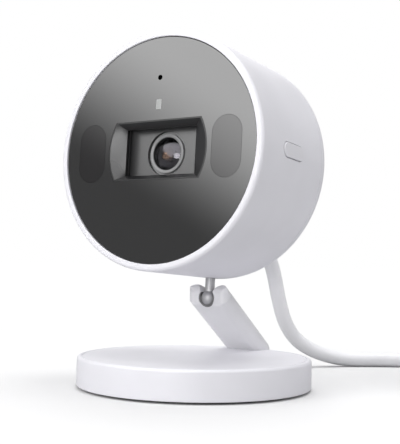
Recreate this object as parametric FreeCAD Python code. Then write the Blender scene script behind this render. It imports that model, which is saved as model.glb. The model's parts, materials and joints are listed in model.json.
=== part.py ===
"""Desktop security camera: a round camera head on a ball joint, an arm, a weighted base and a USB lead.

Millimetres, +Z up. The origin is the centre of the base's underside and the head looks along -Y.
Each function below makes one sub-part. Pieces of the head are drawn in the head's own frame (face
centre at the origin, +Y to the rear, +Z up) and are then set on the ball by in_head().
"""

import FreeCAD, Part
import math
import os

V = FreeCAD.Vector

# ---- driving dimensions -------------------------------------------------------------------------
BASE_R = 33.0            # base disc
BASE_TOP = 8.7
SHELL_BOTTOM = 0.6       # the shell stands this far up on its rubber ring
BASE_WALL = 1.8
BASE_SKIN = 2.0
MOUNT_HOLE_R = 2.2       # wall screws through the base plate
MOUNT_SPACING = 40.0

BALL = V(0, 7.45, 24.95)  # centre of the ball joint
BALL_R = 2.3
PITCH = 3.48             # the face looks up by this many degrees
STEM_R = 1.4
FACE_AHEAD = 30.43       # from the stem's axis forward to the face
HEAD_LIFT = 38.41        # from the ball up to the head's axis

HEAD_R = 32.7
HEAD_WALL = 1.8
FACE_R = 30.75
RIM_Y = -0.45            # the rim stands this far ahead of the face panel
SEAM_Y = 33.6            # joint between the sleeve and the rear cover
REAR_Y = 38.4
REAR_ROUND = 4.0
PANEL_T = 1.2
LEDGE_Y = 3.0            # rear of the ledge that carries the face panel
LEDGE_R = 29.2
FIT = 0.05               # gap round a piece that is dropped into its seat
SPIGOT_T = 1.3           # collar of the rear cover that enters the sleeve
SPIGOT_L = 2.0
INNER_R = HEAD_R - HEAD_WALL

WINDOW_W = 22.6          # inner opening of the lens window
WINDOW_TOP = 6.15
WINDOW_BOTTOM = -6.65
WINDOW_Y = 1.8
RECESS_X = 13.9          # corners of the outer opening
RECESS_BULGE = 16.0
RECESS_TOP = 8.0
RECESS_BOTTOM = -8.2
IR_X = 21.84             # infra-red windows
IR_W = 9.0
IR_H = 16.3
IR_Z = -0.2
LENS_Z = -0.3
RING_R = 6.15            # hole in the lens plate for the trim ring
RING_FACE_R = 5.75       # a groove runs round the ring's face
BARREL_R = 4.55
GLASS_R = 4.35
GLASS_DOME_R = 9.0
GLASS_Y = 4.35           # foremost point of the front element
MIC_Z = 19.6
MIC_HOLE_R = 0.72
LED_Z = 12.25
LED_W = 1.5              # slot for the light pipe
LED_H = 2.8

BLADE_TOP = -7.9         # privacy shutter, parked below the window
BLADE_BOTTOM = -24.0
BLADE_X = 12.6
BLADE_Y = 2.6
BLADE_T = 0.6
CHASSIS_Y = 3.8
POST_RADIUS = 26.0       # four screw posts
POST_R = 2.8
POST_END = 29.0
CASE_SCREW_R = 1.0
CASE_HEAD_DEPTH = 1.4    # the rear screws' heads are sunk this far
FRONT_BOARD_Y = 8.8
BOARD_T = 1.0
SENSOR_BOARD_Y = 19.9
MAIN_BOARD_Y = 24.0
MAIN_BOARD_T = 1.4
SPEAKER_Z = 11.0
SPEAKER_R = 9.5
GRILLE_HOLE_R = 0.7
GRILLE_PITCH = 2.3       # between the rings of holes
PORT_Z = -13.0           # USB port
POCKET_Y = 29.0          # floor of the pocket for the plug
POCKET_W = 14.4
POCKET_H = 9.6
PLUG_W = 11.2            # moulded body of the plug in the pocket
PLUG_H = 6.6

BUTTON_Y = 16.3
BUTTON_Z = 0.5
BUTTON_L = 11.0
BUTTON_H = 3.9
BUTTON_GAP = 0.2
BUTTON_SEAT_X = 29.4     # inner side of the cap

BUSH_R = 2.2             # swivel bush of the stem
BUSH_LOW = -30.6
BUSH_HIGH = -23.0

ARM_W = 13.6
ARM_T = 5.8
ARM_SLOPE = 35.0         # the arm rises forward at this angle above the horizontal
ARM_HEEL_Y = 26.3        # where its underside meets the base
ARM_FRONT = 1.7          # front face ahead of the ball
NOSE_ROUND = 2.4         # rounding of the front face's edges
LOBE_TOP = 3.8           # top of the fork above the ball
FORK_SLOT = 2.1          # half the width of the fork's slot
POCKET_R = 2.65

CORD_R = 2.4
COIL_CENTRE = V(78.0, 65.0, 0)
COIL_MID_R = 28.0        # middle of the turns
COIL_COLUMNS = 3
COIL_LAYERS = 3
# Route of the lead from its strain relief to the coil: down behind the head, then along the table.
ROUTE = [
    (0.0, 28.8, 47.0), (0.0, 36.1, 43.7), (0.0, 42.4, 38.7), (0.0, 47.1, 32.2), (0.0, 50.8, 22.8),
    (0.3, 54.9, 15.3), (1.5, 60.8, 9.3), (5.0, 68.5, 5.0), (11.6, 76.4, 2.4), (20.6, 83.9, 2.4),
    (30.6, 90.6, 2.4), (41.0, 95.4, 2.4), (50.0, 97.8, 2.4), (57.0, 97.8, 2.4),
]
TAIL_R = 22.0            # the last bend, on top of the coil, that leads to the plug
TAIL_STRAIGHT = 3.8
TAIL_RISE = 1.2          # the plug is thicker than the lead, so the lead rises to it
PLUG_BODY_END = 24.5     # USB-A plug: end of the moulded body, from the end of the lead
PLUG_SHELL = 12.0


# ---- helpers ------------------------------------------------------------------------------------
def box(x0, x1, y0, y1, z0, z1):
    return Part.makeBox(x1 - x0, y1 - y0, z1 - z0, V(x0, y0, z0))


def cyl_x(r, x0, x1, y=0.0, z=0.0):
    return Part.makeCylinder(r, x1 - x0, V(x0, y, z), V(1, 0, 0))


def cyl_y(r, y0, y1, x=0.0, z=0.0):
    return Part.makeCylinder(r, y1 - y0, V(x, y0, z), V(0, 1, 0))


def cyl_z(r, z0, z1, x=0.0, y=0.0):
    return Part.makeCylinder(r, z1 - z0, V(x, y, z0), V(0, 0, 1))


def ring_y(outer, inner, y0, y1, x=0.0, z=0.0):
    return cyl_y(outer, y0, y1, x, z).cut(cyl_y(inner, y0 - 1, y1 + 1, x, z))


def ring_z(outer, inner, z0, z1, x=0.0, y=0.0):
    return cyl_z(outer, z0, z1, x, y).cut(cyl_z(inner, z0 - 1, z1 + 1, x, y))


def slot_y(width, height, y0, y1, x=0.0, z=0.0):
    """A prism along Y with a stadium outline, taller than wide."""
    r = width / 2
    half = height / 2 - r
    middle = box(x - r, x + r, y0, y1, z - half, z + half)
    return middle.fuse([cyl_y(r, y0, y1, x, z - half), cyl_y(r, y0, y1, x, z + half)]).removeSplitter()


def slot_x(length, height, x0, x1, y=0.0, z=0.0):
    """A prism along X with a stadium outline, longer along Y than tall."""
    r = height / 2
    half = length / 2 - r
    middle = box(x0, x1, y - half, y + half, z - r, z + r)
    return middle.fuse([cyl_x(r, x0, x1, y - half, z), cyl_x(r, x0, x1, y + half, z)]).removeSplitter()


def revolve_y(profile):
    """Turns a closed outline of (radius, y) points about the Y axis."""
    points = [V(r, y, 0) for r, y in profile]
    face = Part.Face(Part.makePolygon(points + [points[0]]))
    return face.revolve(V(0, 0, 0), V(0, 1, 0), 360)


def revolve_z(profile):
    """Turns a closed outline of (radius, z) points about the Z axis."""
    points = [V(r, 0, z) for r, z in profile]
    face = Part.Face(Part.makePolygon(points + [points[0]]))
    return face.revolve(V(0, 0, 0), V(0, 0, 1), 360)


def circles(shape, radius, axis_value, along):
    """Circular edges of one radius that lie in the plane where the named coordinate has one value."""
    found = []
    for edge in shape.Edges:
        curve = edge.Curve
        if isinstance(curve, Part.Circle) and abs(curve.Radius - radius) < 1e-4:
            if abs(getattr(curve.Center, along) - axis_value) < 1e-4:
                found.append(edge)
    return found


def screw_y(x, z, head_y, r=1.0, length=6.0, head_r=1.9, head_t=1.2):
    """A cross-head screw driven forward (towards -Y); head_y is the underside of its head."""
    head = cyl_y(head_r, head_y, head_y + head_t, x, z)
    recess = box(x - 0.25, x + 0.25, head_y + head_t - 0.6, head_y + head_t + 1, z - 1.1, z + 1.1)
    cross = recess.fuse(box(x - 1.1, x + 1.1, head_y + head_t - 0.6, head_y + head_t + 1, z - 0.25, z + 0.25))
    return head.cut(cross).fuse(cyl_y(r, head_y - length, head_y, x, z)).removeSplitter()


def screw_z(x, y, head_z, r=1.0, length=4.0, head_r=1.9, head_t=1.0):
    """A cross-head screw driven upward; head_z is the upper side of its head."""
    head = cyl_z(head_r, head_z - head_t, head_z, x, y)
    low = head_z - head_t
    cross = box(x - 0.25, x + 0.25, y - 1.1, y + 1.1, low - 1, low + 0.5)
    cross = cross.fuse(box(x - 1.1, x + 1.1, y - 0.25, y + 0.25, low - 1, low + 0.5))
    return head.cut(cross).fuse(cyl_z(r, head_z, head_z + length, x, y)).removeSplitter()


def in_head(shape):
    """Moves a shape from the head's frame to the object's."""
    placed = shape.copy()
    placed.translate(V(0, -FACE_AHEAD, HEAD_LIFT))
    placed.rotate(V(0, 0, 0), V(1, 0, 0), -PITCH)
    placed.translate(BALL)
    return placed


def head_point(x, y, z):
    """The same move for one point."""
    turn = FreeCAD.Rotation(V(1, 0, 0), -PITCH)
    return turn.multVec(V(x, y - FACE_AHEAD, z + HEAD_LIFT)) + BALL


def posts():
    """Centres of the four screw posts, as (x, z)."""
    s = POST_RADIUS * math.sqrt(0.5)
    return [(-s, -s), (s, -s), (s, s), (-s, s)]


# ---- head: shell --------------------------------------------------------------------------------
def housing_sleeve():
    seat = PANEL_T + 0.1
    mouth = FACE_R + FIT
    shell = revolve_y([
        (mouth, RIM_Y), (HEAD_R, RIM_Y), (HEAD_R, SEAM_Y), (INNER_R, SEAM_Y),
        (INNER_R, LEDGE_Y), (LEDGE_R, LEDGE_Y), (LEDGE_R, seat), (mouth, seat),
    ])
    shell = shell.makeFillet(1.0, circles(shell, HEAD_R, RIM_Y, "y"))
    shell = shell.makeFillet(0.2, circles(shell, mouth, RIM_Y, "y"))
    shell = shell.makeChamfer(0.15, circles(shell, HEAD_R, SEAM_Y, "y"))
    shell = shell.cut(cyl_z(STEM_R + 0.7, -HEAD_R - 1, -HEAD_R + 5, 0, FACE_AHEAD))
    gap = 2 * BUTTON_GAP
    return shell.cut(slot_x(BUTTON_L + gap, BUTTON_H + gap, 25, 35, BUTTON_Y, BUTTON_Z))


def rear_cover():
    dome = cyl_y(HEAD_R, SEAM_Y, REAR_Y)
    dome = dome.makeFillet(REAR_ROUND, circles(dome, HEAD_R, REAR_Y, "y"))
    dome = dome.makeChamfer(0.15, circles(dome, HEAD_R, SEAM_Y, "y"))
    inside = INNER_R - SPIGOT_T
    hollow = cyl_y(inside, SEAM_Y - 1, REAR_Y - HEAD_WALL)
    hollow = hollow.makeFillet(2.4, circles(hollow, inside, REAR_Y - HEAD_WALL, "y"))
    cover = dome.cut(hollow)
    cover = cover.fuse(ring_y(INNER_R - 0.1, inside, SEAM_Y - SPIGOT_L, SEAM_Y)).removeSplitter()
    cover = add_pocket(cover)
    clear_r = CASE_SCREW_R + 0.1
    for x, z in posts():
        cover = cover.fuse(ring_y(POST_R, clear_r, POST_END + 0.2, REAR_Y - 1, x, z))
        cover = cover.cut(cyl_y(clear_r, POST_END - 1, REAR_Y + 1, x, z))
        cover = cover.cut(cyl_y(2.1, REAR_Y - CASE_HEAD_DEPTH, REAR_Y + 1, x, z))
    stem_room = box(-7.0, 7.0, SEAM_Y - SPIGOT_L - 0.1, SEAM_Y - 0.1, -32, -22)
    return cover.cut(stem_room).cut(grille_holes()).removeSplitter()


def add_pocket(cover):
    """The rear cover with its pocket for the plug and the opening to the USB socket."""
    half_w, half_h = POCKET_W / 2, POCKET_H / 2
    wall = 1.2
    low, high = PORT_Z - half_h, PORT_Z + half_h
    block = box(-half_w - wall, half_w + wall, POCKET_Y - 1, REAR_Y - 1, low - wall, high + wall)
    mouth = box(-half_w, half_w, POCKET_Y, REAR_Y + 1, low, high)
    along = [e for e in mouth.Edges if abs(e.tangentAt(e.FirstParameter).y) > 0.9]
    opening = box(-4.6, 4.6, POCKET_Y - 2, POCKET_Y + 1, PORT_Z - 1.7, PORT_Z + 1.7)
    return cover.fuse(block).cut(mouth.makeFillet(2.2, along)).cut(opening)


def grille_holes():
    """Speaker holes: one in the middle and three rings round it."""
    holes = [cyl_y(GRILLE_HOLE_R, 30, REAR_Y + 1, 0, SPEAKER_Z)]
    for ring in (1, 2, 3):
        for k in range(6 * ring):
            a = 2 * math.pi * k / (6 * ring)
            x = GRILLE_PITCH * ring * math.cos(a)
            z = SPEAKER_Z + GRILLE_PITCH * ring * math.sin(a)
            holes.append(cyl_y(GRILLE_HOLE_R, 30, REAR_Y + 1, x, z))
    return Part.makeCompound(holes)


def recess_outline(y, grow=0.0):
    """Outer outline of the lens recess: straight top and bottom, sides that bulge outward."""
    x = RECESS_X + grow
    bulge = RECESS_BULGE + grow
    top = RECESS_TOP + grow
    bottom = RECESS_BOTTOM - grow
    middle = (top + bottom) / 2
    corners = [V(-x, y, bottom), V(x, y, bottom), V(x, y, top), V(-x, y, top)]
    return Part.Wire([
        Part.makeLine(corners[0], corners[1]),
        Part.Arc(corners[1], V(bulge, y, middle), corners[2]).toShape(),
        Part.makeLine(corners[2], corners[3]),
        Part.Arc(corners[3], V(-bulge, y, middle), corners[0]).toShape(),
    ])


def window_outline(y):
    """Inner outline of the lens recess, in the same order of corners."""
    x = WINDOW_W / 2
    corners = [V(-x, y, WINDOW_BOTTOM), V(x, y, WINDOW_BOTTOM), V(x, y, WINDOW_TOP), V(-x, y, WINDOW_TOP)]
    return Part.makePolygon(corners + [corners[0]])


def face_panel():
    disc = cyl_y(FACE_R, 0, PANEL_T)
    disc = disc.makeChamfer(0.2, circles(disc, FACE_R, 0, "y"))
    cutters = [Part.Face(recess_outline(-1)).extrude(V(0, 4, 0))]
    cutters += [slot_y(IR_W, IR_H, -1, 3, side * IR_X, IR_Z) for side in (-1, 1)]
    cutters.append(cyl_y(MIC_HOLE_R, -1, 3, 0, MIC_Z))
    cutters.append(slot_y(LED_W, LED_H, -1, 3, 0, LED_Z))
    for cutter in cutters:
        disc = disc.cut(cutter)
    return disc


def ir_window(side):
    gap = 0.14
    return slot_y(IR_W - gap, IR_H - gap, 0, PANEL_T, side * IR_X, IR_Z)


def window_bezel():
    """Sloped frame between the face and the lens window, with a flange behind the panel."""
    body = Part.Face(recess_outline(0.02, -FIT)).extrude(V(0, 2.3, 0))
    flange = Part.Face(recess_outline(PANEL_T + 0.02, 1.2)).extrude(V(0, 1.1, 0))
    body = body.fuse(flange).removeSplitter()
    funnel = Part.makeLoft([recess_outline(-0.01, -0.35), window_outline(WINDOW_Y)], True, True)
    through = box(-WINDOW_W / 2, WINDOW_W / 2, 0, 4, WINDOW_BOTTOM, WINDOW_TOP)
    return body.cut(funnel).cut(through)


# ---- head: privacy shutter ----------------------------------------------------------------------
def shutter_blade():
    blade = box(-BLADE_X, BLADE_X, BLADE_Y, BLADE_Y + BLADE_T, BLADE_BOTTOM, BLADE_TOP)
    corners = [e for e in blade.Edges if abs(e.tangentAt(e.FirstParameter).y) > 0.9]
    return blade.makeFillet(1.0, corners)


def shutter_magnet():
    return box(-4, 4, BLADE_Y + BLADE_T, 4.4, BLADE_BOTTOM + 0.3, BLADE_BOTTOM + 2.3)


def shutter_guide():
    """Two rails that hold the blade's edges."""
    back = BLADE_Y + BLADE_T + 0.2
    rails = []
    for side in (-1, 1):
        near, far = sorted((side * (BLADE_X + 0.2), side * (BLADE_X + 1.8)))
        lip_near, lip_far = sorted((side * (BLADE_X - 0.9), side * (BLADE_X + 1.8)))
        rail = box(near, far, 2.42, CHASSIS_Y, -23.6, 8.6)
        rails.append(rail.fuse(box(lip_near, lip_far, back, CHASSIS_Y, -23.6, 8.6)).removeSplitter())
    return Part.makeCompound(rails)


def shutter_coil():
    """Latching coil that drives the shutter's magnet."""
    body = box(-5, 5, 6.2, 8.6, -22.5, -9.5)
    return body.cut(box(-2.2, 2.2, 5, 10, -19.5, -12.5))


# ---- head: optics -------------------------------------------------------------------------------
def chassis():
    """Front frame that carries the optics and boards and takes the rear screws."""
    plate = cyl_y(INNER_R - 0.3, LEDGE_Y, LEDGE_Y + 1.6).cut(cyl_y(28.6, 0, CHASSIS_Y))
    plate = plate.fuse(cyl_y(INNER_R - 0.3, CHASSIS_Y, CHASSIS_Y + 1.8)).removeSplitter()
    plate = plate.cut(box(-12.2, 12.2, 0, 8, -7.5, 7.0))
    for side in (-1, 1):
        plate = plate.cut(slot_y(IR_W - 0.8, IR_H - 0.8, 0, 8, side * IR_X, IR_Z))
    plate = plate.cut(cyl_y(1.6, 0, 8, 0, MIC_Z)).cut(slot_y(2.2, 3.6, 0, 8, 0, LED_Z))
    plate = plate.cut(box(-4.8, 4.8, 0, 8, BLADE_BOTTOM, -7.5))
    for x, z in posts():
        post = cyl_y(POST_R, CHASSIS_Y + 1, POST_END, x, z)
        plate = plate.fuse(post).cut(cyl_y(CASE_SCREW_R, POST_END - 9, POST_END + 1, x, z))
    return plate.removeSplitter()


def lens_plate():
    plate = box(-12.1, 12.1, 4.8, 5.6, -7.4, 6.9)
    return plate.cut(cyl_y(RING_R, 3, 7, 0, LENS_Z))


def lens_ring():
    """Trim ring round the lens: a slightly dished face inside a groove."""
    bore = BARREL_R + 0.1
    ring = revolve_y([
        (RING_R, 6.4), (RING_R, 5.4), (RING_FACE_R, 5.4), (RING_FACE_R, 4.6), (RING_FACE_R - 0.2, 4.4),
        (bore, 4.7), (bore, 6.4),
    ])
    ring.translate(V(0, 0, LENS_Z))
    return ring


def lens_barrel():
    """Tube with a collar; its bore widens to the seat of the front element."""
    seat = GLASS_R + 0.04
    barrel = revolve_y([
        (BARREL_R, 5.2), (BARREL_R, 7.5), (5.0, 7.5), (5.0, 9.5), (4.2, 9.5), (4.2, 17.0),
        (2.6, 17.0), (2.6, 8.0), (seat, 5.95), (seat, 5.2),
    ])
    barrel.translate(V(0, 0, LENS_Z))
    return barrel


def lens_glass():
    """Front element: a shallow dome."""
    dome = Part.makeSphere(GLASS_DOME_R, V(0, GLASS_Y + GLASS_DOME_R, LENS_Z))
    return dome.common(cyl_y(GLASS_R, GLASS_Y - 1, GLASS_Y + 1.5, 0, LENS_Z))


def rear_element():
    return cyl_y(2.5, 10.0, 12.0, 0, LENS_Z)


def ir_cut_filter():
    return box(-2.6, 2.6, 17.2, 17.6, LENS_Z - 2.6, LENS_Z + 2.6)


def lens_holder():
    z = LENS_Z
    block = box(-7, 7, 12.5, SENSOR_BOARD_Y, z - 7, z + 7)
    block = block.cut(cyl_y(4.25, 12, 17.1, 0, z))
    return block.cut(box(-4, 4, 17.1, 21, z - 4, z + 4))


def image_sensor():
    half = 3.6
    return box(-half, half, SENSOR_BOARD_Y - 1.3, SENSOR_BOARD_Y, LENS_Z - half, LENS_Z + half)


def sensor_board():
    return box(-10, 10, SENSOR_BOARD_Y, SENSOR_BOARD_Y + BOARD_T, LENS_Z - 9, LENS_Z + 9)


# ---- head: electronics --------------------------------------------------------------------------
def front_board():
    """Board behind the face for the infra-red LEDs, microphone and status LED."""
    board = cyl_y(28.0, FRONT_BOARD_Y, FRONT_BOARD_Y + BOARD_T).cut(box(-8.5, 8.5, 7, 11, -24, 9.0))
    for x, z in posts():
        board = board.cut(cyl_y(POST_R + 0.3, 7, 11, x, z))
    return board


def ir_leds():
    leds = []
    for side in (-1, 1):
        for z in (IR_Z - 4.0, IR_Z + 4.0):
            x, front, half = side * IR_X, FRONT_BOARD_Y - 1.2, 1.8
            package = box(x - half, x + half, front, FRONT_BOARD_Y, z - half, z + half)
            dome = Part.makeSphere(1.5, V(x, front, z)).common(cyl_y(1.6, front - 1.7, front + 0.1, x, z))
            leds.append(package.fuse(dome).removeSplitter())
    return Part.makeCompound(leds)


def microphone():
    return box(-1.5, 1.5, FRONT_BOARD_Y - 1.2, FRONT_BOARD_Y, MIC_Z - 2, MIC_Z + 2)


def mic_gasket():
    return ring_y(1.5, MIC_HOLE_R, PANEL_T, FRONT_BOARD_Y - 1.2, 0, MIC_Z)


def light_pipe():
    gap = 0.14
    return slot_y(LED_W - gap, LED_H - gap, 0.0, 7.2, 0, LED_Z)


def status_led():
    half = 0.8
    return box(-half, half, FRONT_BOARD_Y - 1.0, FRONT_BOARD_Y, LED_Z - half, LED_Z + half)


def main_board():
    board = cyl_y(28.5, MAIN_BOARD_Y, MAIN_BOARD_Y + MAIN_BOARD_T).cut(box(-9, 9, 20, 30, -32, -19.5))
    board = board.cut(box(21, 32, 20, 30, -6, 7))
    for x, z in posts():
        board = board.cut(cyl_y(POST_R + 0.3, 20, 30, x, z))
    return board


def processor_chip():
    return box(-6.5, 6.5, MAIN_BOARD_Y - 1.2, MAIN_BOARD_Y, 1, 14)


def wifi_shield():
    return box(9.5, 19.5, MAIN_BOARD_Y - 2.0, MAIN_BOARD_Y, -8, 8)


def heat_spreader():
    plate = box(-13, 13, 25.9, 26.9, -5, 24)
    pad = box(-6.5, 6.5, MAIN_BOARD_Y + MAIN_BOARD_T, 25.9, 1, 14)
    return plate.fuse(pad).removeSplitter()


def antenna():
    """Flexible antenna inside the top of the sleeve."""
    band = ring_y(INNER_R - 0.02, INNER_R - 0.32, 12, 20)
    return band.common(box(-12, 12, 11, 21, 20, 34))


def speaker():
    frame = cyl_y(SPEAKER_R, 27.2, 32.6, 0, SPEAKER_Z)
    return frame.cut(cyl_y(SPEAKER_R - 1.6, 31.6, 34, 0, SPEAKER_Z))


def speaker_gasket():
    return ring_y(SPEAKER_R, SPEAKER_R - 1.4, 32.6, REAR_Y - HEAD_WALL, 0, SPEAKER_Z)


def usb_socket():
    z = PORT_Z
    shell = box(-4.5, 4.5, MAIN_BOARD_Y + MAIN_BOARD_T, POCKET_Y + 0.6, z - 1.6, z + 1.6)
    return shell.cut(box(-4.2, 4.2, MAIN_BOARD_Y + 2.0, POCKET_Y + 2, z - 1.3, z + 1.3))


def rear_screws():
    head_y = REAR_Y - CASE_HEAD_DEPTH
    return Part.makeCompound([screw_y(x, z, head_y, CASE_SCREW_R, 12.0) for x, z in posts()])


# ---- head: button -------------------------------------------------------------------------------
def side_button():
    seat = BUTTON_SEAT_X
    cap = slot_x(BUTTON_L, BUTTON_H, seat, 34, BUTTON_Y, BUTTON_Z)
    cap = cap.common(cyl_y(HEAD_R + 0.3, 0, 30))
    cap = cap.makeFillet(0.25, [e for e in cap.Edges if e.BoundBox.XMin > 32.0])
    flange = slot_x(BUTTON_L + 2.4, BUTTON_H + 2.0, seat, seat + 0.9, BUTTON_Y, BUTTON_Z)
    plunger = cyl_x(1.2, seat - 2.1, seat, BUTTON_Y, BUTTON_Z)
    return cap.fuse([flange, plunger]).removeSplitter()


def button_switch():
    y, z = BUTTON_Y, BUTTON_Z
    return box(23.0, 25.8, y - 3, y + 3, z - 3, z + 3).fuse(cyl_x(1.7, 25.8, 26.4, y, z)).removeSplitter()


def button_board():
    return box(22.0, 23.0, 10.2, 23.6, -5.2, 6.2)


# ---- head: stem mounting ------------------------------------------------------------------------
def stem_mount():
    """Block inside the bottom of the head that carries the swivel bush."""
    y = FACE_AHEAD
    block = box(-6.5, 6.5, y - 4.2, y + 2.9, -31, -23).common(cyl_y(INNER_R - 0.05, 20, 34))
    return block.cut(cyl_z(BUSH_R, -33, -20, 0, y))


def stem_bush():
    return ring_z(BUSH_R, STEM_R + 0.04, BUSH_LOW, BUSH_HIGH, 0, FACE_AHEAD)


def stem_clip():
    return ring_z(BUSH_R - 0.1, STEM_R, BUSH_HIGH + 0.1, BUSH_HIGH + 0.8, 0, FACE_AHEAD)


def stem():
    """Steel pin from the ball up into the head; its foot is hollowed to sit on the ball."""
    low = -HEAD_LIFT
    pin = cyl_z(STEM_R, low + 1, BUSH_HIGH + 1.2, 0, FACE_AHEAD)
    return pin.cut(Part.makeSphere(BALL_R + 0.02, V(0, FACE_AHEAD, low)))


# ---- stand --------------------------------------------------------------------------------------
def ball():
    return Part.makeSphere(BALL_R, BALL)


def arm_bar():
    """The whole sloping bar with rounded sides, its upright rounded front and the fork's two lobes."""
    slope = math.radians(ARM_SLOPE)
    down = V(0, math.cos(slope), -math.sin(slope))
    up = V(0, math.sin(slope), math.cos(slope))
    heel = V(0, ARM_HEEL_Y, BASE_TOP)
    half_w = ARM_W / 2 - ARM_T / 2
    start = heel + up * (ARM_T / 2) - down * 45
    slab = Part.makeBox(2 * half_w, 75, ARM_T)
    slab.rotate(V(0, 0, 0), V(1, 0, 0), -ARM_SLOPE)
    slab.translate(start - up * (ARM_T / 2) - V(half_w, 0, 0))
    rounds = [Part.makeCylinder(ARM_T / 2, 75, start + V(side * half_w, 0, 0), down) for side in (-1, 1)]
    bar = slab.fuse(rounds).removeSplitter()
    front = BALL.y - ARM_FRONT
    return bar.common(side_outline(front)).common(plan_outline(front)).common(lobes_outline(front))


def side_outline(front):
    """Side view of the arm's front: upright, with rounded corners above and below."""
    slope = math.tan(math.radians(ARM_SLOPE))
    low = -10
    high = BALL.z + LOBE_TOP
    points = [
        V(-20, front, BASE_TOP + (ARM_HEEL_Y - front) * slope), V(-20, front, high), V(-20, 60, high),
        V(-20, 60, low), V(-20, ARM_HEEL_Y + (BASE_TOP - low) / slope, low),
    ]
    prism = Part.Face(Part.makePolygon(points + [points[0]])).extrude(V(40, 0, 0))
    corners = [e for e in prism.Edges if e.BoundBox.XLength > 30 and abs(e.BoundBox.YMin - front) < 1e-3]
    return prism.makeFillet(NOSE_ROUND, corners)


def plan_outline(front):
    """Top view of the arm, with rounded front corners."""
    block = box(-ARM_W / 2, ARM_W / 2, front, 60, -10, 60)
    corners = [e for e in block.Edges if e.BoundBox.ZLength > 30 and e.BoundBox.YMax < front + 1]
    return block.makeFillet(NOSE_ROUND, corners)


def lobes_outline(front):
    """Front view of the arm: a band whose top is two rounded lobes either side of the slot."""
    top = BALL.z + LOBE_TOP
    half = ARM_W / 2
    lobe_r = (half - FORK_SLOT) / 2
    outline = box(-half, half, front - 1, 60, -10, top - lobe_r)
    for side in (-1, 1):
        outline = outline.fuse(cyl_y(lobe_r, front - 1, 60, side * (half - lobe_r), top - lobe_r))
    return outline


def stand_arm():
    """The arm: bar, foot inside the base and the keyhole for the ball."""
    bar = arm_bar()
    above = bar.common(cyl_z(BASE_R - 0.05, BASE_TOP, 60))
    inside = bar.common(cyl_z(BASE_R - BASE_WALL - 0.1, BASE_TOP - 4.8, BASE_TOP))
    foot = box(-10, 10, 19.0, 34, BASE_TOP - 4.8, BASE_TOP - BASE_SKIN)
    foot = foot.common(cyl_z(BASE_R - BASE_WALL - 0.1, 0, BASE_TOP))
    arm = above.fuse([inside, foot]).removeSplitter()
    arm = arm.cut(box(-FORK_SLOT, FORK_SLOT, BALL.y - 6, BALL.y + 3.5, BALL.z, BALL.z + 8))
    arm = arm.cut(cyl_y(POCKET_R, BALL.y - 6, BALL.y + 3.0, 0, BALL.z))
    arm = arm.cut(cyl_x(0.5, -3.6, 3.6, BALL.y, BALL.z))
    for x in (-7.8, 7.8):
        arm = arm.cut(cyl_z(1.15, 0, BASE_TOP, x, 23.5))
    return arm


def socket_insert():
    """Nylon socket in the keyhole: it wraps the ball and is held by a peg in each lobe."""
    cup = cyl_y(POCKET_R, BALL.y - 1.3, BALL.y + 3.0, 0, BALL.z)
    pegs = cyl_x(0.5, -3.5, 3.5, BALL.y, BALL.z)
    cup = cup.fuse(pegs)
    cup = cup.cut(Part.makeSphere(BALL_R + 0.05, BALL))
    cup = cup.cut(box(-FORK_SLOT, FORK_SLOT, BALL.y - 6, BALL.y + 3.5, BALL.z, BALL.z + 8))
    return cup.removeSplitter()


def base_cover():
    inner = BASE_R - BASE_WALL
    shell = revolve_z([
        (0, BASE_TOP), (BASE_R, BASE_TOP), (BASE_R, SHELL_BOTTOM), (inner, SHELL_BOTTOM),
        (inner, BASE_TOP - BASE_SKIN), (0, BASE_TOP - BASE_SKIN),
    ])
    shell = shell.makeFillet(0.8, circles(shell, BASE_R, BASE_TOP, "z"))
    shell = shell.makeFillet(0.3, circles(shell, BASE_R, SHELL_BOTTOM, "z"))
    shell = shell.cut(ring_z(31.75, 31.45, BASE_TOP - 0.18, BASE_TOP + 1))
    slot = arm_bar().common(cyl_z(inner - 0.1, BASE_TOP - BASE_SKIN - 1, BASE_TOP + 1))
    shell = shell.cut(slot)
    for x, y in base_bosses():
        shell = shell.fuse(ring_z(2.6, 0.9, 2.4, BASE_TOP - 1.0, x, y))
    for x in (-7.8, 7.8):
        shell = shell.cut(cyl_z(0.95, 0, BASE_TOP - 0.6, x, 23.5))
    return shell.removeSplitter()


def base_bosses():
    """Places of the three screws that hold the base plate."""
    places = []
    for angle in (-90, 30, 150):
        a = math.radians(angle)
        places.append((24.0 * math.cos(a), 24.0 * math.sin(a)))
    return places


def ballast_plate():
    plate = cyl_z(29.0, 2.6, 3.7)
    plate = plate.cut(box(-11.5, 11.5, 18.5, 40, 0, 10))
    thick = cyl_z(16.0, 3.7, 6.4)
    plate = plate.fuse(thick).removeSplitter()
    for x, y in base_bosses():
        plate = plate.cut(cyl_z(2.9, 0, 10, x, y))
    for side in (-1, 1):
        plate = plate.cut(cyl_z(4.0, 0, 10, side * MOUNT_SPACING / 2, 0))
    return plate


def base_plate():
    plate = cyl_z(BASE_R - BASE_WALL - 0.15, SHELL_BOTTOM, 2.4)
    for x, y in base_bosses():
        plate = plate.cut(cyl_z(1.1, 0, 5, x, y)).cut(cyl_z(2.1, 0, 1.7, x, y))
    for side in (-1, 1):
        plate = plate.cut(cyl_z(MOUNT_HOLE_R, 0, 5, side * MOUNT_SPACING / 2, 0))
    return plate


def foot_ring():
    return ring_z(30.6, 27.4, 0.0, SHELL_BOTTOM)


def base_screws():
    return Part.makeCompound([screw_z(x, y, 1.7, 0.9, 5.0, 1.9, 0.9) for x, y in base_bosses()])


def arm_screws():
    return Part.makeCompound([screw_z(x, 23.5, BASE_TOP - 4.8, 0.95, 4.0, 1.9, 0.9) for x in (-7.8, 7.8)])


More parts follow.
